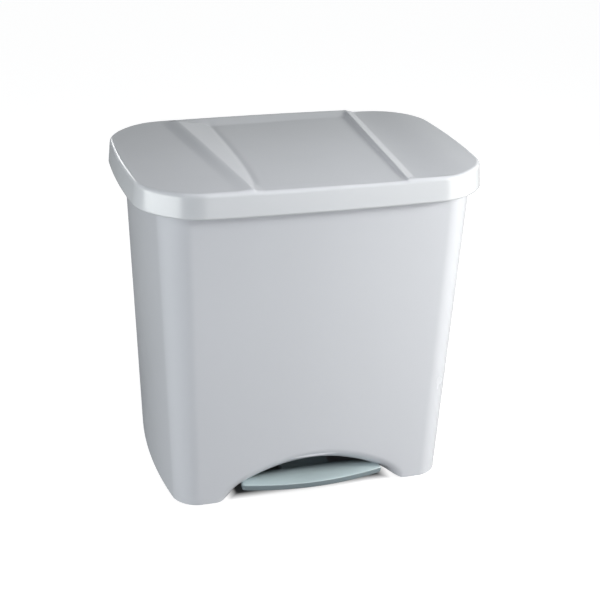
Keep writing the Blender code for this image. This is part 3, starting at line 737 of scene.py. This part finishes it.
def make_hinge_ears():
    """Two ears beside each hinge knuckle, which hold the hinge pin."""
    for side, word in SIDES:
        for place in (-1, 1):
            middle = side * HINGE_X + place * 0.0098
            end = "inner" if side * place < 0 else "outer"
            x0, x1 = middle - 0.0035, middle + 0.0035
            ear = extruded(f"hinge_ear_{word}_{end}", ear_side(), x0, x1, BODY_PLASTIC, "body")
            soften(ear, 0.0007)


def arc(centre, radius, start, stop, steps):
    angles = np.radians(np.linspace(start, stop, steps + 1))
    return [(centre[0] + radius * math.cos(a), centre[1] + radius * math.sin(a)) for a in angles]


def ear_side():
    hinge = (HINGE[1], HINGE[2])
    return arc(hinge, 0.0048, -60, 90, 16) + [(0.1298, hinge[1] + 0.0048), (0.1298, hinge[1] - 0.014)]


def extruded(name, side_yz, x0, x1, mat, body, replaces=()):
    rows = [[(x, y, z) for y, z in side_yz] for x in (x0, x1)]
    return piece(name, *closed_loft(rows), mat, body, replaces)


# ---- Inside of the lid ----
def make_lid_fittings():
    """Hinge knuckles, stop ribs with their bumpers, and the slotted lug that the push rod lifts."""
    for side, word in SIDES:
        x0, x1 = side * HINGE_X - 0.006, side * HINGE_X + 0.006
        knuckle = extruded(f"hinge_knuckle_{word}", knuckle_side(), x0, x1, LID_PLASTIC, "lid")
        soften(knuckle, 0.0007)
        low = (side * 0.100 - 0.009, -0.1365, 0.3776)
        high = (side * 0.100 + 0.009, -0.1297, LID_TOP - 0.0018)
        solid_block(f"stop_rib_{word}", low, high, LID_PLASTIC, "lid", soft=0.0008)
        low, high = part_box(f"lid_bumper_{word}")
        solid_block(f"bumper_{word}", low, high, RUBBER, "lid", [f"lid_bumper_{word}"], soft=0.0009)
    lug = extruded("lever_lug", lug_side(), -0.003, 0.003, LID_PLASTIC, "lid")
    carve(lug, extruded("lug_slot_cutter", slot_side(), -0.008, 0.008, LID_PLASTIC, "lid"))
    soften(lug, 0.0005, 2)


def knuckle_side():
    hinge = (HINGE[1], HINGE[2])
    side_view = arc(hinge, 0.005, -180, 0, 20)
    side_view += [(0.1453, hinge[1] + 0.006), (0.1453, hinge[1] + 0.02), (0.1418, LID_TOP - 0.0022)]
    side_view += [(0.1385, LID_TOP - 0.0022), (0.1385, hinge[1] + 0.005)]
    return side_view


def lug_side():
    back, front, low = HINGE[1] - 0.0108, ROD_EYE[1] - 0.0062, ROD_TOP - 0.0068
    side_view = [(front, low + 0.002), (front + 0.002, low), (back - 0.003, low + 0.002)]
    side_view += [(back, low + 0.006), (back, 0.384), (front, 0.3805)]
    return side_view


def slot_side():
    half = ROD_RADIUS + 0.0008
    swing = math.radians(JOINTS["lid_hinge"]["range_deg"][1]) / 2
    reach = HINGE[1] - ROD_EYE[1]
    away = math.pi + swing
    side_view = []
    for distance, start in ((reach / math.cos(swing) + 0.0003, -90), (reach - 0.0003, 90)):
        centre = (HINGE[1] + distance * math.cos(away), HINGE[2] + distance * math.sin(away))
        side_view += arc(centre, half, math.degrees(away) + start, math.degrees(away) + start + 180, 16)
    return side_view


def solid_block(name, low, high, mat, body, replaces=(), soft=0.0006):
    (x0, y0, z0), (x1, y1, z1) = low, high
    plan = [(x0, y0), (x1, y0), (x1, y1), (x0, y1)]
    obj = piece(name, *closed_loft([[(x, y, z) for x, y in plan] for z in (z0, z1)]), mat, body, replaces)
    soften(obj, soft)
    return obj


# ---- Pedal ----
def tread_section(x):
    """Closed side view of the tread at x, from the underside's back round the front to the top's back."""
    share = min(1.0, abs(x) / TREAD_HALF)
    fade = math.sqrt(max(0.0, 1 - share**2))
    front = TREAD_FRONT + (TREAD_TIP - TREAD_FRONT) * share**2
    back = TREAD_TIP_BACK + (TREAD_BACK - TREAD_TIP_BACK) * min(1.0, fade * 1.25) ** 0.8
    back = max(back, front + 0.0070)
    low = PEDAL_FOOT + 0.0006 * share**4
    high = PEDAL_TOP - 0.0006 * share**4
    end = max(0.0, (abs(x) - TREAD_HALF + TIP_ROUND) / TIP_ROUND)
    shrink = TIP_ROUND * 0.8 * (1 - math.sqrt(max(0.0, 1 - end**2)))
    low, high, front, back = low + shrink, high - shrink, front + shrink, back - shrink
    r = TREAD_EDGE
    slant = 0.0022 * (1 - 0.4 * share**3)
    rows = [(back, low + 0.0002), ((front + back) / 2, low)]
    for a in np.linspace(0, math.pi / 2, 6):
        rows.append((front + slant + r - r * math.sin(a), low + r - r * math.cos(a)))
    for a in np.linspace(0.15, math.pi / 2, 8):
        rows.append((front + r - r * math.cos(a), high - r + r * math.sin(a)))
    deep = back - front
    for t in (0.2, 0.35, 0.5, 0.65, 0.8, 0.92):
        rows.append((front + deep * t, high + 0.0011 * fade * math.sin(math.pi * t)))
    rows.append((back, high - 0.0008))
    return rows


def make_pedal():
    """The tread, a forked neck, the hub on the axle and the rear lever."""
    stations = [TREAD_HALF * math.sin(math.pi / 2 * i / 40) for i in range(-40, 41)]
    rows = [[(x, y, z) for y, z in tread_section(x)] for x in stations]
    piece("pedal_tread", *closed_loft(rows), PEDAL_PLASTIC, "pedal", ["pedal"], angle=50)
    make_neck()
    chamfer = HUB_RADIUS - 0.0006
    profile = [
        (-0.016, AXLE_BORE),
        (-0.016, chamfer),
        (-0.0154, HUB_RADIUS),
        (0.0154, HUB_RADIUS),
        (0.016, chamfer),
        (0.016, AXLE_BORE),
    ]
    hub_rows = turned(profile, (0, AXLE[1], AXLE[2]), "x")
    piece("pedal_hub", *closed_sleeve(hub_rows), PEDAL_PLASTIC, "pedal")
    make_lever()


def make_neck():
    side_view = [(-0.100, 0.0135), (-0.046, 0.0150), (-0.043, 0.0200)]
    side_view += [(-0.047, 0.0250), (-0.070, 0.0180), (-0.100, 0.0180)]
    neck = extruded("pedal_neck", side_view, -0.030, 0.030, PEDAL_PLASTIC, "pedal")
    for x0, x1 in ((-0.040, -0.016), (0.016, 0.040)):
        carve(neck, bmesh_box("neck_room", (x0, -0.066, 0.0), (x1, -0.03, 0.04)))
    carve(neck, cylinder_cutter("neck_bore", AXLE_BORE, (0, AXLE[1], AXLE[2]), "x", 0.05, 40))
    soften(neck, 0.0008)


def make_lever():
    side_view = [(AXLE[1] - 0.02, AXLE[2] - 0.0055), (AXLE[1], AXLE[2] - 0.0066)]
    side_view += arc((ROD_EYE[1], ROD_EYE[2]), 0.0052, -90, 90, 20)
    side_view += [(AXLE[1], AXLE[2] + 0.0066), (AXLE[1] - 0.02, AXLE[2] + 0.0035)]
    lever = extruded("pedal_lever", side_view, -0.004, 0.004, PEDAL_PLASTIC, "pedal")
    eye = ROD_RADIUS + 0.00015
    carve(lever, cylinder_cutter("eye", eye, (0, ROD_EYE[1], ROD_EYE[2]), "x", 0.02, 40))
    carve(lever, cylinder_cutter("axle_room", AXLE_BORE, (0, AXLE[1], AXLE[2]), "x", 0.02, 40))
    soften(lever, 0.0006, 2)


# ---- Rods, wires and fasteners ----
def wire(name, path, radius, mat, body, replaces):
    """A round wire along a path."""
    curve = bpy.data.curves.new(name, "CURVE")
    curve.dimensions = "3D"
    spline = curve.splines.new("POLY")
    spline.points.add(len(path) - 1)
    for point, place in zip(spline.points, path):
        point.co = (*place, 1.0)
    curve.bevel_depth = radius
    curve.bevel_resolution = 6
    curve.use_fill_caps = True
    curve.materials.append(mat)
    obj = placed(name, curve)
    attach(obj, body)
    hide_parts(*replaces)
    return obj


def make_rod():
    """The push rod, hooked towards the lug and the lever at its two ends."""
    bend = ROD_BEND
    y, low = ROD_EYE[1], ROD_EYE[2]
    path = [(ROD_LOW[0], y, low)]
    turns = np.linspace(0, math.pi / 2, 12)
    path += [(ROD_X - bend + bend * math.sin(a), y, low + bend - bend * math.cos(a)) for a in turns]
    path += [(ROD_X - bend + bend * math.cos(a), y, ROD_TOP - bend + bend * math.sin(a)) for a in turns]
    path += [(ROD_LOW[0], y, ROD_TOP)]
    wire("rod", path, ROD_RADIUS, STEEL_Z, "push_rod", ["push_rod"])


def make_bails():
    """The buckets' wire handles, which lie along the outer side at rest."""
    for side, word in SIDES:
        low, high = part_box(f"bail_{word}")
        z = (low[2] + high[2]) / 2
        radius = (high[2] - low[2]) / 2
        x0 = side * BUCKET_X
        x1 = side * (max(abs(low[0]), abs(high[0])) - radius)
        front, back, bend = -0.1115, 0.1015, 0.010
        path = [(x0, low[1], z)]
        turns = (
            ((x0 + side * bend / 2, front - bend / 2), bend / 2, 180, 90),
            ((x1 - side * bend, front + bend), bend, -90, 0),
            ((x1 - side * bend, back - bend), bend, 0, 90),
            ((x0 + side * bend / 2, back + bend / 2), bend / 2, -90, -180),
        )
        for (cx, cy), r, start, stop in turns:
            for a in np.radians(np.linspace(start, stop, 10)):
                path.append((cx + side * r * math.cos(a), cy + r * math.sin(a), z))
        path.append((x0, high[1], z))
        wire(f"bail_wire_{word}", path, radius, STEEL_X, f"bail_{word}", [f"bail_{word}"])
        make_grip(word, x1, z, radius)


def make_grip(word, x, z, hole):
    """A ribbed sleeve on a wire handle."""
    low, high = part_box(f"bail_grip_{word}")
    full = (high[2] - low[2]) / 2
    start, stop = low[1], high[1]
    profile = [
        (start, hole + 0.0003),
        (start, full - 0.0009),
        (start + 0.0006, full - 0.0002),
        (start + 0.0014, full),
    ]
    grooves = 14
    for i in range(grooves):
        at = start + 0.006 + (stop - start - 0.012) * (i + 0.5) / grooves
        profile += [(at - 0.0013, full), (at - 0.0006, full - 0.0006)]
        profile += [(at + 0.0006, full - 0.0006), (at + 0.0013, full)]
    profile += [
        (stop - 0.0014, full),
        (stop - 0.0006, full - 0.0002),
        (stop, full - 0.0009),
        (stop, hole + 0.0003),
    ]
    rows = turned(profile, (x, 0.0, z), "y", 32)
    piece(f"grip_{word}", *closed_sleeve(rows), RUBBER, f"bail_{word}", [f"bail_grip_{word}"])


def make_buckets():
    for side, word in SIDES:
        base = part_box(f"bucket_{word}")[0][2]
        s = perimeter(14, 24, 24, 24)
        rows = []
        for z, grow, t in bucket_profile(base, BUCKET_RIM):
            half = 0.071 + (0.0805 - 0.071) * t
            front = -0.105 + (-0.1165 + 0.105) * t
            back = 0.096 + (0.1065 - 0.096) * t
            corner = 0.022 + 0.004 * t
            x, y = outline(s, half, front, back, corner, 0.0012, 0.0012, grow)
            rows.append(list(zip(x + side * BUCKET_X, y, [z] * len(s))))
        verts, faces = closed_loft(rows)
        piece(f"bucket_wall_{word}", verts, faces, BUCKET_PLASTIC, "body", [f"bucket_{word}"], angle=60)
        for end, y in (("front", -0.1185), ("back", 0.1085)):
            make_bail_ear(f"bail_ear_{end}_{word}", side * BUCKET_X, y)


def make_bail_ear(name, x, y):
    """A tab on a bucket's rim, with the hole that the wire handle turns in."""
    z = 0.357
    foot = BUCKET_RIM - 0.004
    tab = arc((0.0, z), 0.0062, 0, 180, 20) + [(-0.007, foot), (0.007, foot)]
    rows = [[(x + u, y + d, h) for u, h in reversed(tab)] for d in (-0.0012, 0.0012)]
    ear = piece(name, *closed_loft(rows), BUCKET_PLASTIC, "body")
    carve(ear, cylinder_cutter("ear_hole", 0.0020, (x, y, z), "y", 0.01, 32))
    soften(ear, 0.0004, 2)


def bucket_profile(base, rim):
    """(height, outward growth, share of the taper) up the outside and down the inside."""
    wall = BUCKET_WALL
    share = lambda z: (z - base) / (rim - 0.006 - base)
    foot = [
        (base, -0.006, 0.0),
        (base + 0.0006, -0.003, 0.0),
        (base + 0.002, -0.001, 0.0),
        (base + 0.0045, 0.0, 0.0),
    ]
    outside = [(z, 0.0, share(z)) for z in np.linspace(base + 0.02, rim - 0.022, 8)]
    bead = [
        (rim - 0.0185, 0.0008, 0.95),
        (rim - 0.0160, 0.0008, 0.96),
        (rim - 0.0148, 0.0, 0.965),
        (rim - 0.0065, 0.0, 1.0),
        (rim - 0.0058, 0.0018, 1.0),
        (rim - 0.0052, 0.0024, 1.0),
        (rim - 0.0012, 0.0025, 1.0),
        (rim - 0.0003, 0.0019, 1.0),
        (rim, 0.0009, 1.0),
        (rim, -0.0008, 1.0),
        (rim - 0.0004, -0.0014, 1.0),
        (rim - 0.0014, -wall, 1.0),
    ]
    inside = [(z, -wall, share(z)) for z in np.linspace(rim - 0.02, base + 0.02, 8)]
    bottom = [
        (base + 0.0065, -wall, 0.0),
        (base + 0.0038, -wall - 0.0009, 0.0),
        (base + 0.0022, -wall - 0.003, 0.0),
        (base + wall, -wall - 0.007, 0.0),
    ]
    return foot + outside + bead + inside + bottom


def make_screws():
    for number in range(1, 5):
        low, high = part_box(f"saddle_screw_{number}")
        centre = ((low[0] + high[0]) / 2, (low[1] + high[1]) / 2, low[2])
        make_screw(f"saddle_screw_{number}", centre, "z", high[2] - low[2])
    for word in ("lower", "upper"):
        low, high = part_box(f"cover_screw_{word}")
        centre = ((low[0] + high[0]) / 2, low[1], (low[2] + high[2]) / 2)
        make_screw(f"cover_screw_{word}", centre, "y", high[1] - low[1])


def make_screw(node, centre, axis, length):
    """Pan head with a cross recess, and a shank with rolled rings."""
    profile = [(0.0, 0.0020), (0.0002, 0.0028), (0.0007, 0.0034)]
    profile += [(0.0012, 0.0036), (0.0018, 0.0036), (0.00181, 0.0017)]
    turns = 9
    for i in range(turns):
        at = 0.0024 + (length - 0.0038) * i / turns
        profile += [(at, 0.0014), (at + 0.0003, 0.0018), (at + 0.0005, 0.0014)]
    profile.append((length, 0.0006))
    screw = piece(f"{node}_turned", *closed_loft(turned(profile, centre, axis, 32)), STEEL_Z, "body", [node])
    x, y, z = centre
    for wide, tall in ((0.0022, 0.0005), (0.0005, 0.0022)):
        if axis == "z":
            cutter = bmesh_box("cross", (x - wide, y - tall, z - 0.001), (x + wide, y + tall, z + 0.0011))
        else:
            cutter = bmesh_box("cross", (x - wide, y - 0.001, z - tall), (x + wide, y + 0.0011, z + tall))
        carve(screw, cutter)


def make_small_parts():
    """The foot pads and the clips on the push rod's hooks."""
    for pad in PAD_WORDS:
        low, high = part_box(f"foot_pad_{pad}")
        centre = ((low[0] + high[0]) / 2, (low[1] + high[1]) / 2, 0.0)
        rows = turned(PAD_PROFILE, centre, "z", 48)
        piece(f"pad_{pad}", *closed_loft(rows), RUBBER, "body", [f"foot_pad_{pad}"])
    for node in ("rod_clip_lower", "rod_clip_upper"):
        low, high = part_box(node)
        centre = ((low[0] + high[0]) / 2, (low[1] + high[1]) / 2, (low[2] + high[2]) / 2)
        half = (high[0] - low[0]) / 2
        outer, inner = (high[1] - low[1]) / 2, ROD_RADIUS + 0.0002
        profile = [
            (-half, inner),
            (-half, outer - 0.0003),
            (-half + 0.0003, outer),
            (half - 0.0003, outer),
            (half, outer - 0.0003),
            (half, inner),
        ]
        rows = turned(profile, centre, "x", 40)
        piece(f"{node}_ring", *closed_sleeve(rows), STEEL_X, "push_rod", [node])


def finish_cad_nodes():
    """CAD nodes whose shape is already right get their material and soft edges."""
    looks = {
        "hinge_pin_left": STEEL_X,
        "hinge_pin_right": STEEL_X,
        "pedal_axle": STEEL_X,
        "axle_saddle_left": BRACKET_PLASTIC,
        "axle_saddle_right": BRACKET_PLASTIC,
        "rod_cover": BRACKET_PLASTIC,
    }
    for node, mat in looks.items():
        obj = frame["nodes"][node]
        for slot in obj.material_slots:
            slot.material = mat
        soften(obj, 0.0003 if mat is STEEL_X else 0.0006, 2, 30)


# ---- Stage, lights and camera ----
def make_stage():
    """A pale floor that the camera sees a little brighter than it lights the object. The glow stops over the
    bin's footprint, which paints shade under the bin, and reaches back in at the footprint's corners under
    the arch's flanks, which paints light over the bin's shadow there.
    """
    mesh = bpy.data.meshes.new("floor")
    bm = bmesh.new()
    bmesh.ops.create_circle(bm, cap_ends=True, radius=30.0, segments=64)
    bm.to_mesh(mesh)
    bm.free()
    floor = placed("floor", mesh)
    floor.location = (0, 0, -0.0002)
    mat, tree, shader = shader_of("floor_paper")
    shader.inputs["Base Color"].default_value = (0.28, 0.28, 0.29, 1)
    shader.inputs["Roughness"].default_value = 0.9
    shader.inputs["Emission Color"].default_value = (1, 1, 1, 1)
    place = tree.nodes.new("ShaderNodeTexCoord")
    split = tree.nodes.new("ShaderNodeSeparateXYZ")
    tree.links.new(place.outputs["Object"], split.inputs["Vector"])
    half, deep = LOW_PLAN["half"] - 0.022, -LOW_PLAN["front"] - 0.016
    aside = math_node(tree, "SUBTRACT", math_node(tree, "ABSOLUTE", split.outputs["X"]), half)
    ahead = math_node(tree, "SUBTRACT", math_node(tree, "ABSOLUTE", split.outputs["Y"]), deep)
    near_x = math_node(tree, "SUBTRACT", aside, -0.050)
    near_y = math_node(tree, "SUBTRACT", ahead, -0.046)
    outside = math_node(tree, "MAXIMUM", aside, ahead)
    corner = math_node(tree, "MINIMUM", near_x, near_y)
    # Painted shade: the glow is cut out over the bin's footprint, leaving the floor dark under the bin. At
    # the footprint's corners it reaches back in, painting light over the bin's shadow.
    clear = span(tree, math_node(tree, "MAXIMUM", outside, corner), 0.0, FLOOR_GLOW, 0.0, 0.014)
    path = tree.nodes.new("ShaderNodeLightPath")
    glow = math_node(tree, "MULTIPLY", path.outputs["Is Camera Ray"], clear)
    tree.links.new(glow, shader.inputs["Emission Strength"])
    mesh.materials.append(mat)


def area_light(name, azimuth, elevation, distance, width, height, power, colour, aim=(0, 0, 0.2)):
    light = bpy.data.lights.new(name, "AREA")
    light.shape = "RECTANGLE"
    light.size, light.size_y = width, height
    light.energy = power
    light.color = colour
    obj = placed(name, light)
    a, e = math.radians(azimuth), math.radians(elevation)
    back = Vector((math.sin(a) * math.cos(e), -math.cos(a) * math.cos(e), math.sin(e)))
    obj.location = Vector(aim) + back * distance
    obj.rotation_mode = "QUATERNION"
    obj.rotation_quaternion = (-back).to_track_quat("-Z", "Y")


def make_world():
    """A room brighter near eye height than overhead, in front of a white backdrop."""
    world = bpy.data.worlds.new("studio")
    world.use_nodes = True
    tree = world.node_tree
    place = tree.nodes.new("ShaderNodeTexCoord")
    split = tree.nodes.new("ShaderNodeSeparateXYZ")
    tree.links.new(place.outputs["Generated"], split.inputs["Vector"])
    background = tree.nodes["Background"]
    height = span(tree, split.outputs["Z"], 0.0, 1.0, 0.0, 0.9)
    tint = blend_colour(tree, height, (0.95, 0.97, 1.0), (0.93, 1.0, 0.98))
    tree.links.new(tint, background.inputs["Color"])
    lit = span(tree, split.outputs["Z"], WORLD_LOW, WORLD_HIGH, 0.0, 0.9)
    path = tree.nodes.new("ShaderNodeLightPath")
    seen = math_node(tree, "MULTIPLY", path.outputs["Is Camera Ray"], BACKDROP)
    tree.links.new(math_node(tree, "MAXIMUM", lit, seen), background.inputs["Strength"])
    bpy.context.scene.world = world


def make_lights():
    make_world()
    area_light("key", 62, 12, 1.25, 0.9, 0.9, 8.6, (1.0, 0.985, 0.92))
    area_light("lid key", 66, 14, 1.2, 0.35, 0.2, 11.0, (1.0, 0.99, 0.95), aim=(0.05, 0, 0.39))
    area_light("top", 4, 88, 0.36, 0.6, 0.16, 0.85, (0.96, 0.96, 1.0), aim=(0.03, -0.155, 0.39))
    area_light("front", 8, 36, 1.7, 0.5, 0.3, 3.6, (0.96, 0.97, 1.0), aim=(0, 0, 0.30))
    area_light("fill", 14, 8, 2.2, 1.2, 0.8, 4.6, (0.95, 0.97, 1.0), aim=(0, 0, 0.08))
    area_light("left", -76, 0, 1.6, 1.8, 0.5, 18.0, (0.97, 1.0, 0.99), aim=(0, 0, 0.20))
    area_light("rim", -155, 15, 1.3, 0.3, 0.3, 1.2, (1.0, 1.0, 1.0), aim=(0.1, 0, 0.39))


def make_camera():
    """Looks down on the bin from the front left, close to eye height across a room."""
    azimuth, elevation, roll = math.radians(-17.36), math.radians(23.51), math.radians(1.53)
    distance, target = 1.6533, Vector((0.0147, 0.0, 0.1988))
    flat = math.cos(elevation)
    back = Vector((math.sin(azimuth) * flat, -math.cos(azimuth) * flat, math.sin(elevation)))
    right = (-back).cross(Vector((0, 0, 1))).normalized()
    up = right.cross(-back)
    turned_right = right * math.cos(roll) + up * math.sin(roll)
    turned_up = up * math.cos(roll) - right * math.sin(roll)
    data = bpy.data.cameras.new("camera")
    data.sensor_width = 36.0
    data.lens = 36.0 * 1351.75 / 600
    camera = placed("camera", data)
    axes = Matrix((turned_right, turned_up, back)).transposed()
    camera.matrix_world = Matrix.Translation(target + back * distance) @ axes.to_4x4()
    bpy.context.scene.camera = camera


make_camera()
make_stage()
make_lights()
make_body()
make_lid()
make_lid_fittings()
make_pedal()
make_rod()
make_bails()
make_buckets()
make_screws()
make_small_parts()
finish_cad_nodes()
bpy.context.scene.view_settings.view_transform = "Standard"
